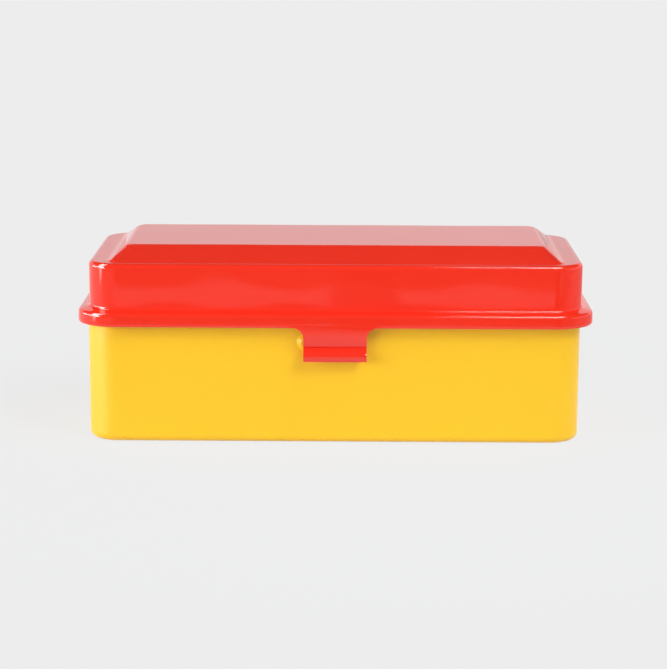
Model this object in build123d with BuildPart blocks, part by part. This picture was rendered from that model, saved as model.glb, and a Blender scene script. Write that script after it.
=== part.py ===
from build123d import *
import math
import os

# Film case: a deep-drawn steel body and a pressed steel lid on two rear hinges.
# Millimetres. The origin is the middle of the body's flat underside, +X is to the
# right of someone facing the front, +Y to the rear and +Z up.

# Shells
case_width = 163.5  # outside of the body's and the lid's upright walls
case_depth = 68.0
corner_radius = 10.0  # plan radius of both walls
sheet = 0.7  # steel thickness of both shells
skin_fit = 0.3  # gap between the shut lid and the body

# Body
floor_bend = 2.4  # outside radius where the floor turns up into the wall
hem_bend = 0.95  # outside radius where the rim is folded out and down
hem_leg = 1.8  # straight leg of the folded rim

# Lid, heights above the underside
skirt_bottom = 39.6
shoulder_edge = 43.7  # top of the flange's upright skirt
wall_foot = 44.75  # where the sloping shoulder meets the upright wall
shelf_height = 59.9
deck_height = 64.6
flange_out = 3.8  # how far the skirt stands out from the wall
side_shelf = 7.0  # flat step between the wall and the raised deck, at each end
front_shelf = 1.8  # the same step along the front and the rear
side_slope = 5.2  # plan width of the deck's sloping ends
front_slope = 10.3  # plan width of its front and rear slopes
mesa_base_corner = 4.5  # plan radii of the raised deck
mesa_deck_corner = 3.0
shelf_bend = 1.6  # outside bend radii of the pressing, along each line
deck_bend = 1.2
slope_foot_bend = 0.8
shoulder_bend = 1.2
wall_foot_bend = 1.7

# Spring tab and the bump that it snaps over
tab_width = 20.8
tab_root_fillet = 3.5
tab_bend_height = 36.2  # where the tab turns in towards the body
crease_height = 33.2
crease_in = 1.65  # how far the crease sits inside the tab's upright part
lip_height = 30.2
lip_out = 0.75  # how far the finger lip stands out in front of the skirt
tab_bottom = 28.15
lip_return = 0.9  # the lip's lower edge turns back in by this much
tab_bends = (2.5, 0.9, 1.1)
bump_length = 22.4
bump_height = 5.3
bump_proud = 1.35
bump_x = -0.9
bump_z = 34.0

# Hinges
hinge_x = 45.0
leaf = 0.8  # thickness of both leaves
leaf_width = 21.5
leaf_corner = 2.0
pin_radius = 0.8
pin_play = 0.05  # between the pin and the lid's knuckle
pin_head_radius = 1.25
pin_head = 0.6
knuckle_radius = 1.65
lid_knuckle = 9.0
knuckle_gap = 0.25
axis_height = 37.6
body_leaf_bottom = 23.5
body_joggle = (34.0, 35.7)  # heights where the body leaf leaves the wall and stands clear of it
tongue_width = 7.0
tongue_reach = 5.5  # from the body's wall
tongue_top = 35.17
lid_crank = (44.4, 47.0)  # heights where the lid leaf turns in over the flange and up the wall
lid_leaf_top = 57.0
leaf_bend = 0.9  # centreline radius of the leaves' bends

# Rivets
rivet_spacing = 12.0
rivet_radius = 1.0
rivet_head_radius = 2.1
rivet_head = 1.1
rivet_tail_radius = 1.8
rivet_tail = 0.6
body_rivet_height = 28.6
lid_rivet_height = 52.2

half_width = case_width / 2
half_depth = case_depth / 2
skirt_face = half_depth + flange_out
shoulder_angle = math.atan2(wall_foot - shoulder_edge, flange_out)
mesa_rise = deck_height - shelf_height
axis_y = skirt_face + leaf - knuckle_radius  # the lid leaf's rear face is tangent to its knuckle


def edges_at(form, height):
    return form.edges().filter_by_position(Axis.Z, height - 0.01, height + 0.01)


# The lid's outer faces drawn in by skin, as one solid: 0 gives its outside, sheet its inside.
def lid_envelope(skin):
    shoulder_shift = skin * (1 / math.cos(shoulder_angle) - math.tan(shoulder_angle))
    front_shift = skin * math.tan(math.atan2(mesa_rise, front_slope) / 2)
    side_shift = skin * math.tan(math.atan2(mesa_rise, side_slope) / 2)
    wall_size = (case_width - 2 * skin, case_depth - 2 * skin)
    flange_size = (wall_size[0] + 2 * flange_out, wall_size[1] + 2 * flange_out)
    base_half = (half_width - side_shelf - side_shift, half_depth - front_shelf - front_shift)
    deck_half = (base_half[0] - side_slope, base_half[1] - front_slope)
    edge, foot = shoulder_edge - shoulder_shift, wall_foot - shoulder_shift
    shelf, deck = shelf_height - skin, deck_height - skin
    bottom = skirt_bottom - skin
    with BuildPart() as envelope:
        with BuildSketch(Plane.XY.offset(bottom)):
            RectangleRounded(*flange_size, corner_radius + flange_out - skin)
        extrude(amount=edge - bottom)
        with BuildSketch(Plane.XY.offset(edge)):
            RectangleRounded(*flange_size, corner_radius + flange_out - skin)
        with BuildSketch(Plane.XY.offset(foot)):
            RectangleRounded(*wall_size, corner_radius - skin)
        loft()
        with BuildSketch(Plane.XY.offset(foot)):
            RectangleRounded(*wall_size, corner_radius - skin)
        extrude(amount=shelf - foot)
        fillet(edges_at(envelope, shelf), shelf_bend - skin)
        with BuildSketch(Plane.XY.offset(shelf)):
            RectangleRounded(2 * base_half[0], 2 * base_half[1], mesa_base_corner - skin / 2)
        with BuildSketch(Plane.XY.offset(deck)):
            RectangleRounded(2 * deck_half[0], 2 * deck_half[1], mesa_deck_corner - skin / 2)
        loft()
        fillet(edges_at(envelope, deck), deck_bend - skin)
        slope_foot = edges_at(envelope, shelf).filter_by(
            lambda e: abs((e @ 0.5).X) < base_half[0] + 0.01 and abs((e @ 0.5).Y) < base_half[1] + 0.01
        )
        fillet(slope_foot, slope_foot_bend + skin / 2)
        fillet(edges_at(envelope, edge), shoulder_bend - skin)
        fillet(edges_at(envelope, foot), wall_foot_bend + skin)
    return envelope.part


# Two solid rivets through the rear wall and a leaf, level with each other.
def rivet_pair(centre_x, height):
    inside, outside = half_depth - sheet, half_depth + leaf
    dome_radius = (rivet_head_radius**2 + rivet_head**2) / (2 * rivet_head)
    with BuildPart() as pair:
        for x in (centre_x - rivet_spacing / 2, centre_x + rivet_spacing / 2):
            with BuildSketch(Plane.YZ.offset(x)):
                with BuildLine():
                    Polyline(
                        (outside + rivet_head, height),
                        (inside - rivet_tail, height),
                        (inside - rivet_tail, height + rivet_tail_radius - rivet_tail / 2),
                        (inside, height + rivet_tail_radius),
                        (inside, height + rivet_radius),
                        (outside, height + rivet_radius),
                        (outside, height + rivet_head_radius),
                    )
                    RadiusArc(
                        (outside, height + rivet_head_radius),
                        (outside + rivet_head, height),
                        dome_radius,
                    )
                make_face()
            revolve(axis=Axis((x, 0, height), (0, 1, 0)))
    return pair.part


# The rivets' holes through a leaf and the rear wall behind it, as the metal taken out.
def rivet_holes(centres, height):
    with BuildPart() as holes:
        with BuildSketch(Plane.XZ.offset(-half_depth)):
            for x in centres:
                with Locations((x - rivet_spacing / 2, height), (x + rivet_spacing / 2, height)):
                    Circle(rivet_radius)
        extrude(amount=2 * leaf, both=True)
    return holes.part


# A ring round the hinge axis, with the given bore.
def knuckle(centre_x, length, bore_radius):
    with BuildPart() as ring:
        with BuildSketch(Plane.YZ.offset(centre_x)):
            with Locations((axis_y, axis_height)):
                Circle(knuckle_radius)
                Circle(bore_radius, mode=Mode.SUBTRACT)
        extrude(amount=length / 2, both=True)
    return ring.part


# A strip of leaf stock bent along points given as (Y, Z) of its centreline.
def bent_strip(centre_x, width, points):
    with BuildPart() as strip:
        with BuildSketch(Plane.YZ.offset(centre_x)):
            with BuildLine():
                FilletPolyline(*points, radius=leaf_bend)
            trace(line_width=leaf)
        extrude(amount=width / 2, both=True)
    return strip.part


# The part of a leaf that lies flat on the rear wall, with rounded corners.
def wall_plate(centre_x, bottom, top):
    with BuildPart() as plate:
        with BuildSketch(Plane.XZ.offset(-half_depth)):
            with Locations((centre_x, (bottom + top) / 2)):
                RectangleRounded(leaf_width, top - bottom, leaf_corner)
        extrude(amount=-leaf)
    return plate.part


# One hinge: the leaf on the body, the leaf on the lid, and the pin.
def hinge(centre_x):
    plate_y = half_depth + leaf / 2
    knuckle_side = axis_y - knuckle_radius + leaf / 2
    slot = lid_knuckle + 2 * knuckle_gap
    with BuildPart() as body_leaf:
        add(wall_plate(centre_x, body_leaf_bottom, body_joggle[0]))
        joggled = [
            (plate_y, body_joggle[0] - 2 * leaf_corner),
            (plate_y, body_joggle[0]),
            (knuckle_side, body_joggle[1]),
            (knuckle_side, axis_height),
        ]
        add(bent_strip(centre_x, leaf_width, joggled))
        add(knuckle(centre_x, leaf_width, pin_radius))
        with BuildSketch(Plane.XY.offset(body_joggle[0] - leaf_corner)):
            with Locations((centre_x, half_depth)):
                Rectangle(slot, 4 * flange_out)
        extrude(amount=axis_height, mode=Mode.SUBTRACT)
        tongue = [
            (plate_y, body_leaf_bottom + leaf_corner),
            (plate_y, tongue_top - leaf / 2),
            (half_depth + tongue_reach, tongue_top - leaf / 2),
        ]
        add(bent_strip(centre_x, tongue_width, tongue))
        add(rivet_holes([centre_x], body_rivet_height), mode=Mode.SUBTRACT)
    with BuildPart() as lid_leaf:
        add(wall_plate(centre_x, lid_crank[1], lid_leaf_top))
        cranked = [
            (skirt_face + leaf / 2, axis_height),
            (skirt_face + leaf / 2, lid_crank[0]),
            (plate_y, lid_crank[1]),
            (plate_y, lid_leaf_top - leaf_corner),
        ]
        add(bent_strip(centre_x, lid_knuckle, cranked))
        add(knuckle(centre_x, lid_knuckle, pin_radius + pin_play))
        add(rivet_holes([centre_x], lid_rivet_height), mode=Mode.SUBTRACT)
    with BuildPart() as pin:
        with BuildSketch(Plane.YZ.offset(centre_x)):
            with Locations((axis_y, axis_height)):
                Circle(pin_radius)
        extrude(amount=leaf_width / 2, both=True)
        for start in (-leaf_width / 2 - pin_head, leaf_width / 2):
            with BuildSketch(Plane.YZ.offset(centre_x + start)):
                with Locations((axis_y, axis_height)):
                    Circle(pin_head_radius)
            extrude(amount=pin_head)
    return body_leaf.part, lid_leaf.part, pin.part


# Body: drawn box, folded rim, pressed bump. The rim's fold stops skin_fit short of the
# underside of the lid's sloping shoulder.
with BuildPart() as body_shell:
    hem_y = half_depth - sheet + hem_bend
    hem_x = half_width - sheet + hem_bend
    hem_corner = corner_radius - sheet + hem_bend
    hem_height = (
        wall_foot
        - math.tan(shoulder_angle) * (hem_y - half_depth)
        - (sheet + skin_fit + hem_bend) / math.cos(shoulder_angle)
    )
    with BuildSketch():
        RectangleRounded(case_width, case_depth, corner_radius)
    extrude(amount=hem_height)
    fillet(edges_at(body_shell, 0), floor_bend)
    with BuildSketch(Plane.XZ.offset(half_depth)):
        with Locations((bump_x, bump_z)):
            SlotOverall(bump_length, bump_height)
    extrude(amount=bump_proud)
    bump_rim = body_shell.edges().filter_by_position(
        Axis.Y, -half_depth - bump_proud - 0.01, -half_depth - bump_proud + 0.01
    )
    fillet(bump_rim, bump_proud - 0.15)
    with BuildPart(mode=Mode.PRIVATE) as hollow:
        with BuildSketch(Plane.XY.offset(sheet)):
            RectangleRounded(case_width - 2 * sheet, case_depth - 2 * sheet, corner_radius - sheet)
        extrude(amount=hem_height)
        fillet(edges_at(hollow, sheet), floor_bend - sheet)
    add(hollow.part, mode=Mode.SUBTRACT)
    with BuildSketch(Plane.XZ.offset(half_depth - sheet)):
        with Locations((bump_x, bump_z)):
            SlotOverall(bump_length - 2 * sheet, bump_height - 2 * sheet)
    extrude(amount=bump_proud, mode=Mode.SUBTRACT)
    with BuildLine():
        run_x, run_y = hem_x - hem_corner, hem_y - hem_corner
        front_right = Line((0, -hem_y, hem_height), (run_x, -hem_y, hem_height))
        turn_1 = JernArc(front_right @ 1, front_right % 1, hem_corner, 90)
        right = Line(turn_1 @ 1, (hem_x, run_y, hem_height))
        turn_2 = JernArc(right @ 1, right % 1, hem_corner, 90)
        rear = Line(turn_2 @ 1, (-run_x, hem_y, hem_height))
        turn_3 = JernArc(rear @ 1, rear % 1, hem_corner, 90)
        left = Line(turn_3 @ 1, (-hem_x, -run_y, hem_height))
        turn_4 = JernArc(left @ 1, left % 1, hem_corner, 90)
        Line(turn_4 @ 1, front_right @ 0)
    with BuildSketch(Plane.YZ):
        with Locations((-hem_y, hem_height)):
            Circle(hem_bend)
            Circle(hem_bend - sheet, mode=Mode.SUBTRACT)
            with Locations((0, -hem_bend / 2)):
                Rectangle(2 * hem_bend, hem_bend, mode=Mode.SUBTRACT)
            with Locations((sheet / 2 - hem_bend, -hem_leg / 2)):
                Rectangle(sheet, hem_leg)
    sweep()
    add(rivet_holes([-hinge_x, hinge_x], body_rivet_height), mode=Mode.SUBTRACT)

# Lid: pressed pan with its flange, and the spring tab
with BuildPart() as lid_shell:
    add(lid_envelope(0))
    add(lid_envelope(sheet), mode=Mode.SUBTRACT)
    tab_y = -(skirt_face - sheet / 2)
    with BuildSketch(Plane.YZ):
        with BuildLine():
            FilletPolyline(
                (tab_y, skirt_bottom + sheet),
                (tab_y, tab_bend_height),
                (tab_y + crease_in, crease_height),
                (tab_y - lip_out, lip_height),
                (tab_y - lip_out + lip_return, tab_bottom),
                radius=tab_bends,
            )
        trace(line_width=sheet)
    extrude(amount=tab_width / 2, both=True)
    with BuildSketch(Plane.XZ.offset(skirt_face)):
        with Locations((0, skirt_bottom - tab_root_fillet / 2)):
            Rectangle(tab_width + 2 * tab_root_fillet, tab_root_fillet)
        reach = tab_width / 2 + tab_root_fillet
        with Locations((-reach, skirt_bottom - tab_root_fillet), (reach, skirt_bottom - tab_root_fillet)):
            Circle(tab_root_fillet, mode=Mode.SUBTRACT)
    extrude(amount=-sheet)
    add(rivet_holes([-hinge_x, hinge_x], lid_rivet_height), mode=Mode.SUBTRACT)

pieces = {"body_shell": body_shell.part, "lid_shell": lid_shell.part}
for side, x in (("left", -hinge_x), ("right", hinge_x)):
    body_leaf_part, lid_leaf_part, pin_part = hinge(x)
    pieces[f"{side}_hinge_body_leaf"] = body_leaf_part
    pieces[f"{side}_hinge_lid_leaf"] = lid_leaf_part
    pieces[f"{side}_hinge_pin"] = pin_part
    pieces[f"{side}_body_leaf_rivets"] = rivet_pair(x, body_rivet_height)
    pieces[f"{side}_lid_leaf_rivets"] = rivet_pair(x, lid_rivet_height)

os.makedirs("parts", exist_ok=True)
for name, piece in pieces.items():
    piece.label = name
    export_step(piece, f"parts/{name}.step")
print(f"hinge axis at Y {axis_y:.3f}, Z {axis_height:.3f}; rim top at Z {hem_height + hem_bend:.3f}")
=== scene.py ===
import math

import bmesh
import bpy
import numpy as np
from mathutils import Matrix, Quaternion, Vector


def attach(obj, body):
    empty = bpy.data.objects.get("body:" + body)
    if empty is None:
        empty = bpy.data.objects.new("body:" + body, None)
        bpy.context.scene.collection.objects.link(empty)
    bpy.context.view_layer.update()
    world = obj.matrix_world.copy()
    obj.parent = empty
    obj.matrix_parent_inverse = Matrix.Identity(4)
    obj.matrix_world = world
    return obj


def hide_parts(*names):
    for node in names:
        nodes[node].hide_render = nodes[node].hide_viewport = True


# Film case: a drawn steel body in satin enamel and a pressed lid in gloss enamel. The sizes
# of the pieces and the camera's place are in millimetres, and the studio's are in metres.
# Meshes are in metres, in the CAD frame.
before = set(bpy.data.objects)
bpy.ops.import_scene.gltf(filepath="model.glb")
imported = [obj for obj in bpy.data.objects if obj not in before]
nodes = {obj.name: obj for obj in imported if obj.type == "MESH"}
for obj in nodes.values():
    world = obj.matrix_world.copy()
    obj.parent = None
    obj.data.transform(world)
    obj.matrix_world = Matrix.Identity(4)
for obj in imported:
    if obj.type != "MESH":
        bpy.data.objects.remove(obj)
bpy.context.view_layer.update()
mm = 0.001
print("frame loaded:", len(nodes), "CAD nodes")


# A line through points with each inner corner rounded to its radius. A run between bends is
# cut into that many equal steps, a little inside its ends so that shading stays flat on it,
# or at the given shares of its length. A run of no steps is one that its two bends use up.
def bentLine(points, radii, runs, bendSteps=8, guard=0.12):
    points = np.array(points, float)
    heading = np.diff(points, axis=0)
    length = np.hypot(heading[:, 0], heading[:, 1])
    heading /= length[:, None]
    cut = np.zeros(len(points))
    bends = []
    for i, radius in enumerate(radii, start=1):
        before, after = heading[i - 1], heading[i]
        turn = math.atan2(before[0] * after[1] - before[1] * after[0], before @ after)
        cut[i] = radius * math.tan(abs(turn) / 2)
        angle = np.linspace(0, abs(turn), bendSteps + 1)[:, None]
        inward = np.array([-before[1], before[0]]) * np.sign(turn)
        start = points[i] - before * cut[i]
        bends.append(start + radius * (np.sin(angle) * before + (1 - np.cos(angle)) * inward))
    line = [points[:1]]
    for i, steps in enumerate(runs):
        a, b = cut[i], length[i] - cut[i + 1]
        if not isinstance(steps, int):
            along = a + np.array(steps) * (b - a)
        elif steps:
            edge = min(guard, (b - a) / 3)
            along = np.linspace(a + edge, b - edge, steps + 1)
        else:
            along = np.zeros(0)
        line.append(points[i] + along[:, None] * heading[i])
        if i < len(bends):
            line.append(bends[i] if len(along) else bends[i][1:])
    line.append(points[-1:])
    return np.vstack(line)


# How far along a line each of its points lies.
def lengthAlong(line):
    return np.concatenate([[0], np.cumsum(np.hypot(*np.diff(line, axis=0).T))])


# One turn round a rounded rectangle, from its front going anticlockwise seen from above, as
# four rows: which way the corner's centre lies in X and Y (-1 to 1), and the outward
# direction there. The first column is repeated at the end.
def ringTemplate(frontStops, sideSteps, cornerSteps, first):
    stops = np.asarray(frontStops)
    side = np.linspace(-1, 1, sideSteps + 1)
    corner = np.linspace(0, math.pi / 2, cornerSteps + 1)[1:-1]
    parts = []
    for centreX, centreY, angle in (
        (stops, -1, -math.pi / 2), (1, -1, corner - math.pi / 2),
        (1, side, 0), (1, 1, corner),
        (-stops, 1, math.pi / 2), (-1, 1, corner + math.pi / 2),
        (-1, -side, math.pi), (-1, -1, corner + math.pi),
    ):
        parts.append(np.stack(np.broadcast_arrays(centreX, centreY, np.cos(angle), np.sin(angle))))
    ring = np.roll(np.hstack(parts), -first, axis=1)
    return np.hstack([ring, ring[:, :1]])


# A pressing as rings: ring i is a rounded rectangle with half sizes endLine[i] in X and
# frontLine[i] in Y and corner radius radii[i]. Its height is the end line's along the ends
# and the front line's along the front and rear, and turns from one to the other with the
# square of the outward direction's cosine round each corner. Rings that are the first one
# shrunk in equal steps fill the flat middle, down to a point.
def ringSurface(endLine, frontLine, radii, template, middleSteps):
    centreX, centreY, outX, outY = template[:, None, :]
    radii = radii[:, None]
    x = centreX * (endLine[:, :1] - radii) + outX * radii
    y = centreY * (frontLine[:, :1] - radii) + outY * radii
    z = endLine[:, 1:] * outX**2 + frontLine[:, 1:] * outY**2
    rings = np.stack([x, y, z], axis=-1)
    share = np.linspace(0, 1, middleSteps + 1)[:-1, None]
    flat = np.broadcast_to(z[0], (middleSteps, len(z[0])))
    middle = np.stack([x[0] * share, y[0] * share, flat], axis=-1)
    return np.concatenate([middle, rings])


# Slow unevenness of pressed sheet: each wave adds depth times the sine of the place along
# its direction over its length.
def sheetWaves(points, waves):
    height = np.zeros(len(points))
    for length, depth, direction, start in waves:
        along = points @ (np.array(direction) / np.linalg.norm(direction))
        height += depth * np.sin(along * 2 * math.pi / length + start)
    return height


# The quads between neighbours in a grid whose points are numbered row by row from first.
def gridFaces(rows, columns, first=0):
    numbers = first + np.arange(rows * columns).reshape(rows, columns)
    corners = (numbers[:-1, :-1], numbers[1:, :-1], numbers[1:, 1:], numbers[:-1, 1:])
    return np.stack(corners, axis=-1).reshape(-1, 4)


# Joins grids of points, each rows x columns x 3, into one mesh: quads between neighbours,
# points that coincide welded, and the sheet's waves added along the surface's normals. The
# waves fade out from twice the height flatBelow down to it, where it is given.
def makeMesh(name, grids, waves, flatBelow=None, weldGap=0.002):
    points, faces, count = [], [], 0
    for grid in grids:
        faces.append(gridFaces(*grid.shape[:2], count))
        points.append(grid.reshape(-1, 3))
        count += len(points[-1])
    mesh = bpy.data.meshes.new(name)
    mesh.from_pydata((np.vstack(points) * mm).tolist(), [], np.vstack(faces).tolist())
    weld = bmesh.new()
    weld.from_mesh(mesh)
    bmesh.ops.remove_doubles(weld, verts=weld.verts, dist=weldGap * mm)
    weld.to_mesh(mesh)
    weld.free()
    places, normals = np.zeros(len(mesh.vertices) * 3), np.zeros(len(mesh.vertices) * 3)
    mesh.vertices.foreach_get("co", places)
    mesh.vertex_normals.foreach_get("vector", normals)
    places, normals = places.reshape(-1, 3), normals.reshape(-1, 3)
    height = sheetWaves(places / mm, waves) * mm
    if flatBelow is not None:
        height *= np.clip(places[:, 2] / mm / flatBelow - 1, 0, 1)
    mesh.vertices.foreach_set("co", (places + normals * height[:, None]).ravel())
    mesh.shade_smooth()
    piece = bpy.data.objects.new(name, mesh)
    bpy.context.scene.collection.objects.link(piece)
    return piece


# Gives a one-sided pressing its thickness inwards and rounds the cut edges of the sheet.
def thicken(piece, thickness, edgeRadius):
    solid = piece.modifiers.new("sheet", "SOLIDIFY")
    solid.thickness = thickness * mm
    solid.offset = -1
    solid.use_even_offset = True
    solid.use_quality_normals = True
    edge = piece.modifiers.new("cutEdge", "BEVEL")
    edge.width = edgeRadius * mm
    edge.segments = 3
    edge.limit_method = "ANGLE"
    edge.angle_limit = math.radians(50)


# sRGB hex to linear red, green, blue and alpha
def linearColour(code):
    values = [int(code[i : i + 2], 16) / 255 for i in (1, 3, 5)]
    return [v / 12.92 if v <= 0.04045 else ((v + 0.055) / 1.055) ** 2.4 for v in values] + [1.0]


# Adds a node, sets its properties and sockets by name, and links a socket given as a value.
def addNode(tree, kind, sockets=None, **settings):
    node = tree.nodes.new(kind)
    for name, value in settings.items():
        setattr(node, name, value)
    for name, value in (sockets or {}).items():
        socket = node.inputs[name]
        if isinstance(value, bpy.types.NodeSocket):
            tree.links.new(value, socket)
        else:
            socket.default_value = value
    return node


def newMaterial(name):
    material = bpy.data.materials.new(name)
    material.use_nodes = True
    tree = material.node_tree
    tree.nodes.clear()
    output = addNode(tree, "ShaderNodeOutputMaterial")
    return material, tree, output


def cover(piece, material):
    piece.data.materials.clear()
    piece.data.materials.append(material)


noiseRange = (0.3, 0.7)  # what the values of a noise texture mostly keep to


# Stoved enamel, sprayed over steel. The spray's flow leaves orange peel, lumps of about
# peelSize, and the film is a shade uneven in colour and gloss over a few centimetres. The
# eye gets a clean mirror of the room from the gloss one, and a soft sheen from the satin one.
def enamel(name, look):
    material, tree, output = newMaterial(name)
    place = addNode(tree, "ShaderNodeTexCoord").outputs["Object"]
    cloud = addNode(tree, "ShaderNodeTexNoise", {
        "Vector": place, "Scale": 1 / (look["cloudSize"] * mm), "Detail": 2.0})
    colour = addNode(tree, "ShaderNodeMix", {
        "Factor": cloud.outputs["Fac"], "A": linearColour(look["thin"]),
        "B": linearColour(look["full"])}, data_type="RGBA")
    smear = addNode(tree, "ShaderNodeTexNoise", {
        "Vector": place, "Scale": 1 / (look["smearSize"] * mm), "Detail": 2.0})
    gloss = addNode(tree, "ShaderNodeMapRange", {
        "Value": smear.outputs["Fac"], "From Min": noiseRange[0], "From Max": noiseRange[1],
        "To Min": look["roughness"][0], "To Max": look["roughness"][1]})
    peel = addNode(tree, "ShaderNodeTexNoise", {
        "Vector": place, "Scale": 1 / (look["peelSize"] * mm), "Detail": 1.0})
    relief = addNode(tree, "ShaderNodeBump", {
        "Height": peel.outputs["Fac"], "Strength": 1.0, "Distance": look["peelDepth"] * mm})
    paint = addNode(tree, "ShaderNodeBsdfPrincipled", {
        "Base Color": colour.outputs["Result"], "Roughness": gloss.outputs["Result"],
        "Normal": relief.outputs["Normal"], "IOR": look["ior"]})
    tree.links.new(paint.outputs["BSDF"], output.inputs["Surface"])
    return material


# Zinc-plated, passivated steel: a grey metal with a satin grain from tumbling and faint
# cloudy patches where the plating took unevenly. The grain is drawn coarser than it is, so
# that it shows.
def platedSteel(name, look):
    material, tree, output = newMaterial(name)
    place = addNode(tree, "ShaderNodeTexCoord").outputs["Object"]
    cloud = addNode(tree, "ShaderNodeTexNoise", {
        "Vector": place, "Scale": 1 / (look["cloudSize"] * mm), "Detail": 3.0})
    colour = addNode(tree, "ShaderNodeMix", {
        "Factor": cloud.outputs["Fac"], "A": linearColour(look["dull"]),
        "B": linearColour(look["bright"])}, data_type="RGBA")
    gloss = addNode(tree, "ShaderNodeMapRange", {
        "Value": cloud.outputs["Fac"], "From Min": noiseRange[0], "From Max": noiseRange[1],
        "To Min": look["roughness"][0], "To Max": look["roughness"][1]})
    grain = addNode(tree, "ShaderNodeTexNoise", {
        "Vector": place, "Scale": 1 / (look["grainSize"] * mm), "Detail": 3.0})
    relief = addNode(tree, "ShaderNodeBump", {
        "Height": grain.outputs["Fac"], "Strength": 1.0, "Distance": look["grainDepth"] * mm})
    metal = addNode(tree, "ShaderNodeBsdfPrincipled", {
        "Base Color": colour.outputs["Result"], "Metallic": 1.0,
        "Roughness": gloss.outputs["Result"], "Normal": relief.outputs["Normal"]})
    tree.links.new(metal.outputs["BSDF"], output.inputs["Surface"])
    return material


glossEnamel = enamel("glossEnamel", {
    "thin": "#f2301b", "full": "#f63420", "cloudSize": 30, "smearSize": 8,
    "roughness": (0.045, 0.06), "peelSize": 1.4, "peelDepth": 0.0006, "ior": 1.6})
satinEnamel = enamel("satinEnamel", {
    "thin": "#fcc514", "full": "#fdc91e", "cloudSize": 35, "smearSize": 6,
    "roughness": (0.32, 0.38), "peelSize": 0.9, "peelDepth": 0.006, "ior": 1.5})
zincPlatedSteel = platedSteel("zincPlatedSteel", {
    "dull": "#b4b3ad", "bright": "#d2d1cc", "cloudSize": 6,
    "roughness": (0.24, 0.38), "grainSize": 0.25, "grainDepth": 0.003})
print("materials made")


# The body is drawn as the outer face of its wall, which turns over at the top and becomes
# the inner face of the rim's fold. A wave has a length, a depth, a direction and a start.
body = {
    "halfWidth": 81.75, "halfDepth": 34.0, "corner": 10.0, "sheet": 0.7, "edge": 0.28,
    "floorBorder": 6, "floorBend": 2.4, "leastCorner": 6.0,
    "foldTop": 42.908, "foldBend": 0.25, "foldEnd": 40.858, "foldRows": (0.04, 0.4, 0.78),
    "bump": {"x": -0.9, "z": 34.0, "length": 22.4, "height": 5.3, "proud": 1.35,
             "slope": 1.25, "foot": 0.1},
    "waves": ((47, 0.03, (1, 0, 0.3), 0.4), (31, 0.02, (1, 0.4, -1.2), 2.0),
              (19, 0.006, (0.3, 1, 1), 1.1)),
    "flatBelow": 2.0,
    # rows as shares of the wall's height, and columns along the front, both closer at the bump
    "wallRows": ((0.003, 0.7, 14), (0.72, 0.9, 26), (0.93, 0.997, 4)),
    "bumpColumns": (-14, 12.2, 80), "plainColumns": 26,
    "sideSteps": 20, "cornerSteps": 16, "middleSteps": 10,
}


# The bump stands proud of the front wall by a smooth step in the distance from its middle
# line, which makes a pill with rounded shoulders. Nothing else moves.
def raiseBump(size, rings):
    bump, flush = size["bump"], 0.01
    straight = (bump["length"] - bump["height"]) / 2
    along = np.clip(rings[..., 0] - bump["x"], -straight, straight)
    away = np.hypot(rings[..., 0] - bump["x"] - along, rings[..., 2] - bump["z"])
    share = np.clip((bump["height"] / 2 + bump["foot"] - away) / bump["slope"], 0, 1)
    onFront = (rings[..., 1] < flush - size["halfDepth"]) & (rings[..., 2] < size["foldTop"] - 1)
    rings[..., 1] -= onFront * bump["proud"] * share**2 * (3 - 2 * share)


def makeBody(size):
    wall, foldBend = size["halfDepth"], size["foldBend"]
    fold = wall + 2 * foldBend
    rows = np.concatenate([np.linspace(*run) for run in size["wallRows"]])
    line = bentLine(
        [(wall - size["floorBorder"], 0), (wall, 0), (wall, size["foldTop"]),
         (fold, size["foldTop"]), (fold, size["foldEnd"])],
        (size["floorBend"], foldBend, foldBend), (2, rows, 0, size["foldRows"]))
    endLine = line + (size["halfWidth"] - wall, 0)
    radii = np.maximum(size["corner"] + line[:, 0] - wall, size["leastCorner"])
    reach = size["halfWidth"] - size["corner"]
    fineLeft, fineRight, fineColumns = size["bumpColumns"]
    stops = np.concatenate([np.linspace(-reach, fineLeft, size["plainColumns"])[:-1],
                            np.linspace(fineLeft, fineRight, fineColumns),
                            np.linspace(fineRight, reach, size["plainColumns"])[1:]])
    template = ringTemplate(stops / reach, size["sideSteps"], size["cornerSteps"], 0)
    rings = ringSurface(endLine, line, radii, template, size["middleSteps"])
    raiseBump(size, rings)
    piece = makeMesh("bodyShell", [rings[:, ::-1]], size["waves"], size["flatBelow"])
    thicken(piece, size["sheet"], size["edge"])
    return piece


bodyShell = makeBody(body)
cover(bodyShell, satinEnamel)
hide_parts("body_shell")
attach(bodyShell, "body")
print("body made:", len(bodyShell.data.polygons), "faces")


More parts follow.
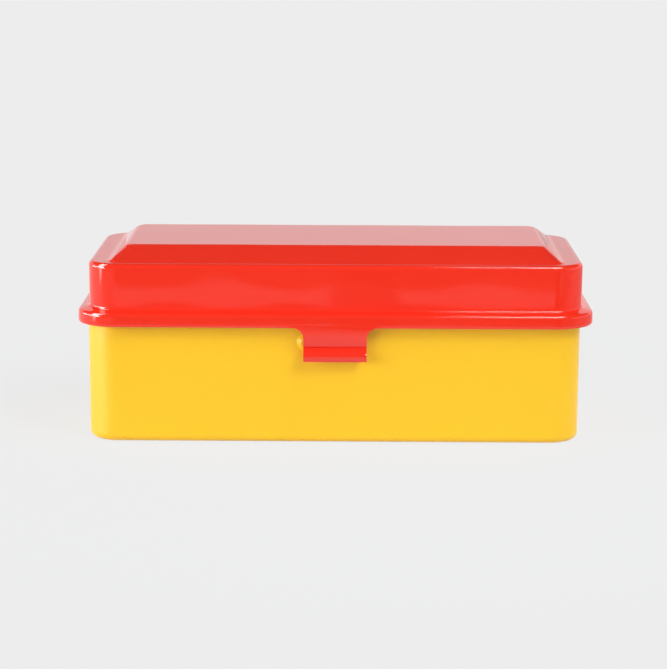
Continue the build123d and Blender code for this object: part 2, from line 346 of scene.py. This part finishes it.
# The lid is drawn as its outer face, from the middle of the deck out and down to the skirt's
# edge. Bends are in that order: deck, slope foot, shelf, wall foot, shoulder, skirt.
lid = {
    "halfWidth": 81.75, "halfDepth": 34.0, "corner": 10.0, "sheet": 0.7, "edge": 0.28,
    "deckHeight": 64.6, "shelfHeight": 59.9, "footHeight": 44.75, "shoulderHeight": 43.7,
    "skirtTurn": 40.5, "skirtBottom": 39.6, "skirtLean": 0.12, "skirtTuck": 0.2,
    "tuckFade": 4,  # beside the tab
    "tuckCentre": (72, 24),  # the corner's centre, which the tuck goes towards
    "flangeOut": 3.8, "sideShelf": 7.0, "frontShelf": 1.8, "sideSlope": 5.2, "frontSlope": 10.3,
    "deckCorner": 3.0, "mesaCorner": 4.5, "deckBorder": 6,
    "endBends": (3.0, 4.0, 1.6, 0.8, 1.2, 34.0), "frontBends": (1.2, 0.8, 1.6, 0.8, 1.2, 34.0),
    "runs": (2, 6, 2, 10, 3, (0.06, 0.4, 0.8), (0.5,)),
    "skirtRows": 3 + 9 + 1 + 1,  # the run under the shoulder, the turn, the run below it, the edge
    "sideways": 0.38,  # the lid's play on its pins
    "tab": {"halfWidth": 10.4, "rootFillet": 3.5, "bends": (12.0, 0.3, 0.1, 0.5, 1.3),
            "path": ((37.8, 36.0), (36.5, 33.1), (36.1, 32.75), (36.45, 32.4), (38.61, 30.45),
                     (37.62, 28.3)),
            "runs": (2, 2, 1, 1, 3, (0.05, 0.35, 0.75)), "bendSteps": 9, "middleSteps": 6,
            "rootGap": 0.2},  # no row is closer than this below the root's end
    "waves": ((43, 0.025, (1, 0.2, 0.6), 0.9), (26, 0.016, (1, 0.5, -1.4), 2.6),
              (15, 0.006, (0.6, -0.5, 1.3), 0.2)),
    "frontSteps": 30, "tabSteps": 28, "sideSteps": 26, "cornerSteps": 16, "middleSteps": 12,
}


# The tab and its root, each as a right half and its mirror image. In the root, between its
# fillets, each line of the grid runs from a point on a fillet's arc to one on the border
# above, which goes along the skirt's top row to the middle and then down it. Height is
# measured along the sheet, whose outer face is the bent line.
def tabGrids(size, topRow, skirtLine):
    tab = size["tab"]
    radius, centreX = tab["rootFillet"], tab["halfWidth"] + tab["rootFillet"]
    depths = lengthAlong(skirtLine)
    drop = depths[-1]
    bottom = drop + radius
    rightHalf = topRow[topRow >= -1e-6][::-1]
    middle = np.linspace(0, bottom, tab["middleSteps"] + 1)[1:]
    borderX = np.concatenate([rightHalf, np.zeros(len(middle))])
    borderDown = np.concatenate([np.zeros(len(rightHalf)), middle])
    angle = np.linspace(0, math.pi / 2, len(borderX))
    arcX, arcDown = centreX - radius * np.sin(angle), bottom - radius * np.cos(angle)
    share = 1 - depths[::-1, None] / drop
    rootX = arcX * (1 - share) + borderX * share
    rootDown = arcDown * (1 - share) + borderDown * share
    tabLine = bentLine([skirtLine[-1], *tab["path"]], tab["bends"], tab["runs"], tab["bendSteps"])
    line = np.vstack([skirtLine, tabLine[1:]])
    length = lengthAlong(line)
    rows = np.concatenate([[bottom], length[length > bottom + tab["rootGap"]]])
    acrossX = np.broadcast_to(rootX[:, -1], (len(rows), len(share)))
    acrossDown = np.broadcast_to(rows[:, None], acrossX.shape)
    grids = []
    for x, down in ((rootX, rootDown), (-acrossX, acrossDown)):
        y = -np.interp(down, length, line[:, 0])
        z = np.interp(down, length, line[:, 1])
        grids.append(np.stack([x, y, z], axis=-1))
        grids.append(np.stack([-x, y, z], axis=-1)[:, ::-1])
    return grids


# The skirt's edge is tucked in a little, with the square of the way from its turn to its
# edge, except beside the tab.
def tuckEdge(size, skirt, root):
    top, bottom = size["skirtTurn"], size["skirtBottom"]
    way = np.clip((top - skirt[..., 2]) / (top - bottom), 0, 1)
    clear = np.clip((np.abs(skirt[..., 0]) - root) / size["tuckFade"], 0, 1)
    clear = np.where(skirt[..., 1] < 0, clear * clear * (3 - 2 * clear), 1)
    centreX, centreY = size["tuckCentre"]
    outX = skirt[..., 0] - np.clip(skirt[..., 0], -centreX, centreX)
    outY = skirt[..., 1] - np.clip(skirt[..., 1], -centreY, centreY)
    reach = np.hypot(outX, outY)
    tuck = (size["skirtTuck"] * way**2 * clear / reach)[..., None]
    return skirt - tuck * np.stack([outX, outY, np.zeros_like(reach)], axis=-1)


def makeLid(size):
    width, depth, out = size["halfWidth"], size["halfDepth"], size["flangeOut"]
    corner, shelfBend = size["corner"], size["endBends"][2]
    baseX, baseY = width - size["sideShelf"], depth - size["frontShelf"]
    deckX, deckY = baseX - size["sideSlope"], baseY - size["frontSlope"]
    heights = [size[k] for k in ("deckHeight", "deckHeight", "shelfHeight", "shelfHeight",
                                 "footHeight", "shoulderHeight", "skirtTurn", "skirtBottom")]
    endLine, frontLine = [
        bentLine(list(zip((deck - size["deckBorder"], deck, base, wall, wall,
                           wall + out - size["skirtLean"], wall + out, wall + out), heights)),
                 bends, size["runs"])
        for deck, base, wall, bends in ((deckX, baseX, width, size["endBends"]),
                                        (deckY, baseY, depth, size["frontBends"]))]
    radii = np.interp(endLine[:, 0], (deckX, baseX, width - shelfBend, width, width + out),
                      (size["deckCorner"], size["mesaCorner"], corner - shelfBend,
                       corner, corner + out))
    reach = width - corner
    root = size["tab"]["halfWidth"] + size["tab"]["rootFillet"]
    frontSteps, tabSteps, skirtRows = size["frontSteps"], size["tabSteps"], size["skirtRows"]
    sideStops = np.linspace(root, reach, frontSteps + 1)
    rootStops = np.linspace(-root, root, tabSteps + 1)
    stops = np.concatenate([-sideStops[:0:-1], rootStops, sideStops[1:]])
    # the rings start and end at the right end of the tab's root, so that it can be left out
    first = frontSteps + tabSteps
    template = ringTemplate(stops / reach, size["sideSteps"], size["cornerSteps"], first)
    rings = ringSurface(endLine, frontLine, radii, template, size["middleSteps"])
    upper, skirt = rings[:-skirtRows], rings[-skirtRows - 1:, :-tabSteps]
    grids = [upper, tuckEdge(size, skirt, root)]
    grids += tabGrids(size, rootStops, frontLine[-skirtRows - 1:])
    grids = [grid + (size["sideways"], 0, 0) for grid in grids]
    piece = makeMesh("lidShell", grids, size["waves"])
    thicken(piece, size["sheet"], size["edge"])
    return piece


lidShell = makeLid(lid)
cover(lidShell, glossEnamel)
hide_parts("lid_shell")
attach(lidShell, "lid")
print("lid made:", len(lidShell.data.polygons), "faces")

# the hinges and rivets keep their CAD shapes
for name, node in nodes.items():
    if "hinge" in name or "rivets" in name:
        cover(node, zincPlatedSteel)
print("hinges finished")

# angles in radians, and the focal length in pixels of the picture's longer side
view = {"elevation": 0.2039, "yaw": -0.0072, "roll": 0.0041, "distance": 700.69,
        "target": (-0.143, -34.0, 36.81), "focalPixels": 2131.3, "longSide": 669, "sensor": 36}


# Looks along yaw and elevation at the target, and turns about that line by the roll.
def makeCamera(size):
    e, yaw, roll = size["elevation"], size["yaw"], size["roll"]
    ahead = Vector((math.sin(yaw) * math.cos(e), math.cos(yaw) * math.cos(e), -math.sin(e)))
    level = Vector((math.cos(yaw), -math.sin(yaw), 0))
    up = level.cross(ahead)
    right = level * math.cos(roll) + up * math.sin(roll)
    above = up * math.cos(roll) - level * math.sin(roll)
    lens = bpy.data.cameras.new("camera")
    lens.sensor_width = size["sensor"]
    lens.lens = size["focalPixels"] * size["sensor"] / size["longSide"]
    lens.clip_start, lens.clip_end = 0.01, 50
    camera = bpy.data.objects.new("camera", lens)
    bpy.context.scene.collection.objects.link(camera)
    place = (Vector(size["target"]) - ahead * size["distance"]) * mm
    turn = Matrix((right, above, -ahead)).transposed().to_4x4()
    camera.matrix_world = Matrix.Translation(place) @ turn
    bpy.context.scene.camera = camera


makeCamera(view)

studio = {
    "background": "#ededed", "fill": 0.10,  # what the world adds to the light, of that colour
    "floorColour": "#e3e9ef", "floorReach": 6.0, "floorDrop": 0.0002,
    "shadow": 0.12, "shadowReach": (0.12, 0.26),  # plain paper's share, and where it fades out
    "nearGlow": 1.035,  # of the background, so that the unshaded paper matches it
    # Painted reflections: gloss alone sees this pattern of bright and dark on the sweep. A step
    # has the two places between which the brightness changes, and its factors before and after.
    # Beside the case they go by X and then Y, and the painted window glint, a glowing patch that
    # is added, by X, Y and Y.
    "beside": (0.18, 0.24, 1.0, 0.5), "besideDepth": (-0.23, -0.08, 0.4, 1.0),
    "paintedWindowGlint": ((-0.378, -0.350, 6.0, 0.0), (-0.19, -0.165, 0.0, 1.0),
                    (-0.125, -0.10, 1.0, 0.0)),
    # In front of the case, inside the left, front and right ends, they go by Y, and each painted
    # dark band (a painted dark reflection) in X has a middle, a half width, and what is left in
    # it.
    "aheadEnds": ((-0.19, -0.13), (-0.245, -0.228), (0.21, 0.24)),
    "ahead": ((-0.330, -0.314, 0.1, 0.6), (-0.280, -0.270, 1.0, 0.15)),
    "paintedDarkBands": ((0.012, 0.013, 0.3), (0.165, 0.045, 0.15)), "paintedDarkBlur": 0.2,
    # painted dark reflection: a sheet in front of and over the table that gloss alone sees, as
    # the room's darkness, seen from the side: Y and Z
    "roomDarkness": 0.08, "darkSheetLine": ((-2.2, 0.004), (-2.2, 1.9), (2.4, 1.5)), "darkSheetBends": (0.5,),
    "darkSheetHalf": 3.0,
    "aim": (0, 0, 0.04),
    # azimuth to the right of the camera, elevation and lean in degrees, distance and size in
    # metres; strips and washes shine in gloss alone, and fills light colour alone
    "lamps": {
        "keyStrip": {"azimuth": 38.5, "elevation": 63, "lean": 0, "distance": 1.3,
                     "size": (0.52, 0.3), "power": 11, "only": "glossy"},
        "keySpill": {"azimuth": 16, "elevation": 66, "lean": 0, "distance": 1.4,
                     "size": (0.16, 0.2), "power": 0.06, "only": "glossy"},
        "windowStrip": {"azimuth": -76, "elevation": 32, "lean": 26, "distance": 1.3,
                        "size": (0.45, 1.82), "power": 30, "only": "glossy"},
        "windowWash": {"azimuth": -82, "elevation": 3.5, "lean": 0, "distance": 1.3,
                       "size": (1.6, 0.16), "power": 15, "only": "glossy"},
        "keyFill": {"azimuth": 43, "elevation": 41, "lean": 0, "distance": 1.3,
                    "size": (0.5, 0.5), "power": 8.0, "only": "diffuse"},
        "topFill": {"azimuth": 60, "elevation": 64, "lean": 0, "distance": 0.8,
                    "size": (0.4, 0.3), "power": 1.15, "only": "diffuse"},
        "windowFill": {"azimuth": -52, "elevation": 13, "lean": 0, "distance": 1.3,
                       "size": (0.9, 0.6), "power": 9.0, "only": "diffuse"},
        "leftFill": {"azimuth": -95, "elevation": 9, "lean": 0, "distance": 1.3,
                     "size": (1.0, 0.4), "power": 7.8, "only": "diffuse"},
        "rightFill": {"azimuth": 90, "elevation": 9, "lean": 0, "distance": 1.3,
                      "size": (1.0, 0.4), "power": 3.8, "only": "diffuse"},
        "frontFill": {"azimuth": 20, "elevation": 9, "lean": 0, "distance": 1.5,
                      "size": (1.6, 0.46), "power": 1.7, "only": "diffuse"},
        "rearFill": {"azimuth": 168, "elevation": 5, "lean": 0, "distance": 1.5,
                     "size": (1.6, 0.24), "power": 9, "only": "diffuse"},
    },
}


# A flat lamp that faces the aim from its azimuth and elevation.
def makeLamp(name, lamp, aim):
    azimuth, elevation = math.radians(lamp["azimuth"]), math.radians(lamp["elevation"])
    toward = Vector((math.sin(azimuth) * math.cos(elevation),
                     -math.cos(azimuth) * math.cos(elevation), math.sin(elevation)))
    light = bpy.data.lights.new(name, "AREA")
    light.shape = "RECTANGLE"
    light.size, light.size_y = lamp["size"]
    light.energy = lamp["power"]
    place = bpy.data.objects.new(name, light)
    bpy.context.scene.collection.objects.link(place)
    place.location = toward * lamp["distance"] + Vector(aim)
    place.rotation_mode = "QUATERNION"
    lean = Quaternion((0, 0, 1), math.radians(lamp["lean"]))
    place.rotation_quaternion = toward.to_track_quat("Z", "Y") @ lean
    place.visible_glossy = lamp["only"] != "diffuse"
    place.visible_diffuse = lamp["only"] != "glossy"


def makeStage(name, points, material):
    mesh = bpy.data.meshes.new(name)
    mesh.from_pydata(points.reshape(-1, 3).tolist(), [], gridFaces(*points.shape[:2]).tolist())
    prop = bpy.data.objects.new(name, mesh)
    bpy.context.scene.collection.objects.link(prop)
    cover(prop, material)
    return prop


# 1 for a ray of any of these kinds, and 0 for others
def rayKinds(tree, kinds):
    ray = addNode(tree, "ShaderNodeLightPath").outputs
    total = ray[kinds[0]]
    for kind in kinds[1:]:
        either = addNode(tree, "ShaderNodeMath", {0: total, 1: ray[kind]}, operation="MAXIMUM")
        total = either.outputs["Value"]
    return total


# Multiplies smooth steps into one factor. Each step goes from its first factor to its last
# between two places along a measure.
def smoothSteps(tree, steps):
    total = 1.0
    for along, start, end, before, after in steps:
        step = addNode(tree, "ShaderNodeMapRange", {
            "Value": along, "From Min": start, "From Max": end, "To Min": before,
            "To Max": after}, interpolation_type="SMOOTHSTEP")
        product = addNode(tree, "ShaderNodeMath", {0: step.outputs["Result"], 1: total},
                          operation="MULTIPLY")
        total = product.outputs["Value"]
    return total


# Painted reflections: how bright gloss alone sees the sweep, by the place on it in X and Y.
def paintedSweepReflections(tree, size, x, y):
    plain = smoothSteps(tree, [(x, *size["beside"]), (y, *size["besideDepth"])])
    # painted window glint: a patch that glows for gloss alone, a painted highlight on the lid's
    # corner
    patchLeft, patchFront, patchRear = size["paintedWindowGlint"]
    patch = smoothSteps(tree, [(x, *patchLeft), (y, *patchFront), (y, *patchRear)])
    beside = addNode(tree, "ShaderNodeMath", {0: plain, 1: patch}, operation="ADD")
    edges = [(y, *edge) for edge in size["ahead"]]
    # painted dark bands: dark reflections painted into the lid's front wall
    for middle, half, rest in size["paintedDarkBands"]:
        off = addNode(tree, "ShaderNodeMath", {0: x, 1: middle}, operation="SUBTRACT")
        off = addNode(tree, "ShaderNodeMath", {0: off.outputs["Value"]}, operation="ABSOLUTE")
        blur = half * size["paintedDarkBlur"]
        edges.append((off.outputs["Value"], half - blur, half + blur, rest, 1.0))
    ahead = smoothSteps(tree, edges)
    left, front, right = size["aheadEnds"]
    inFront = smoothSteps(tree, [(x, *left, 0.0, 1.0), (x, *right, 1.0, 0.0),
                                 (y, *front, 1.0, 0.0)])
    shade = addNode(tree, "ShaderNodeMix", {
        "Factor": inFront, "A": beside.outputs["Value"], "B": ahead}, data_type="FLOAT")
    return shade.outputs["Result"]


# A pale paper sweep. Near the object it is plain paper that takes the shadow, mixed with the
# background's colour, and further out only that colour, so that no edge or gradient shows.
# Gloss sees it with painted reflections, and the diffuse light that it throws is plain paper's.
def makeFloor(size):
    material, tree, output = newMaterial("paperSweep")
    place = addNode(tree, "ShaderNodeTexCoord").outputs["Object"]
    away = addNode(tree, "ShaderNodeVectorMath", {0: place}, operation="LENGTH").outputs["Value"]
    share = smoothSteps(tree, [(away, *size["shadowReach"], 1 - size["shadow"], 1.0)])
    strength = smoothSteps(tree, [(away, *size["shadowReach"], size["nearGlow"], 1.0)])
    axes = addNode(tree, "ShaderNodeSeparateXYZ", {0: place}).outputs
    # the painted reflection pattern, which glossy rays alone see
    shade = paintedSweepReflections(tree, size, axes["X"], axes["Y"])
    mirrored = rayKinds(tree, ["Is Glossy Ray"])
    bright = addNode(tree, "ShaderNodeMix", {"Factor": mirrored, "A": strength, "B": shade},
                     data_type="FLOAT")
    seen = rayKinds(tree, ["Is Camera Ray", "Is Transmission Ray"])
    shown = addNode(tree, "ShaderNodeMath", {0: seen, 1: share}, operation="MULTIPLY")
    even = addNode(tree, "ShaderNodeMath", {0: shown.outputs["Value"], 1: mirrored},
                   operation="MAXIMUM")
    paper = addNode(tree, "ShaderNodeBsdfDiffuse", {"Color": linearColour(size["floorColour"])})
    glow = addNode(tree, "ShaderNodeEmission", {
        "Color": linearColour(size["background"]), "Strength": bright.outputs["Result"]})
    mixed = addNode(tree, "ShaderNodeMixShader", {
        0: even.outputs["Value"], 1: paper.outputs["BSDF"], 2: glow.outputs["Emission"]})
    tree.links.new(mixed.outputs["Shader"], output.inputs["Surface"])
    stops = np.array([-size["floorReach"], size["floorReach"]])
    x, y = np.meshgrid(stops, stops[::-1])
    makeStage("floor", np.stack([x, y, np.full(x.shape, -size["floorDrop"])], axis=-1), material)


# A painted dark reflection: a sheet that glows dark grey for gloss alone, as the darkness of
# the room. It casts no shadow.
def makePaintedDarkSheet(size):
    material, tree, output = newMaterial("paintedRoomDark")
    grey = (size["roomDarkness"],) * 3 + (1.0,)
    darkGlow = addNode(tree, "ShaderNodeEmission", {"Color": grey, "Strength": 1.0})
    tree.links.new(darkGlow.outputs["Emission"], output.inputs["Surface"])
    line = bentLine(size["darkSheetLine"], size["darkSheetBends"], (1, 1), 8)
    x, row = np.meshgrid([-size["darkSheetHalf"], size["darkSheetHalf"]], np.arange(len(line)))
    roomDarkness = makeStage("paintedDarkSheet", np.stack([x, line[row, 0], line[row, 1]], axis=-1), material)
    roomDarkness.visible_camera = roomDarkness.visible_diffuse = False
    roomDarkness.visible_shadow = roomDarkness.visible_transmission = False


# The world shows the background's colour, and lights the object with a small part of it.
def makeWorld(size):
    world = bpy.data.worlds.new("studioWorld")
    world.use_nodes = True
    bpy.context.scene.world = world
    tree = world.node_tree
    tree.nodes.clear()
    output = addNode(tree, "ShaderNodeOutputWorld")
    seen = rayKinds(tree, ["Is Camera Ray", "Is Glossy Ray", "Is Transmission Ray"])
    colour = linearColour(size["background"])
    shown = addNode(tree, "ShaderNodeBackground", {"Color": colour, "Strength": 1.0})
    light = addNode(tree, "ShaderNodeBackground", {"Color": colour, "Strength": size["fill"]})
    mixed = addNode(tree, "ShaderNodeMixShader", {
        0: seen, 1: light.outputs["Background"], 2: shown.outputs["Background"]})
    tree.links.new(mixed.outputs["Shader"], output.inputs["Surface"])


makeFloor(studio)
makePaintedDarkSheet(studio)
makeWorld(studio)
for lampName, lamp in studio["lamps"].items():
    makeLamp(lampName, lamp, studio["aim"])
bpy.context.scene.view_settings.view_transform = "Standard"
print("studio made")
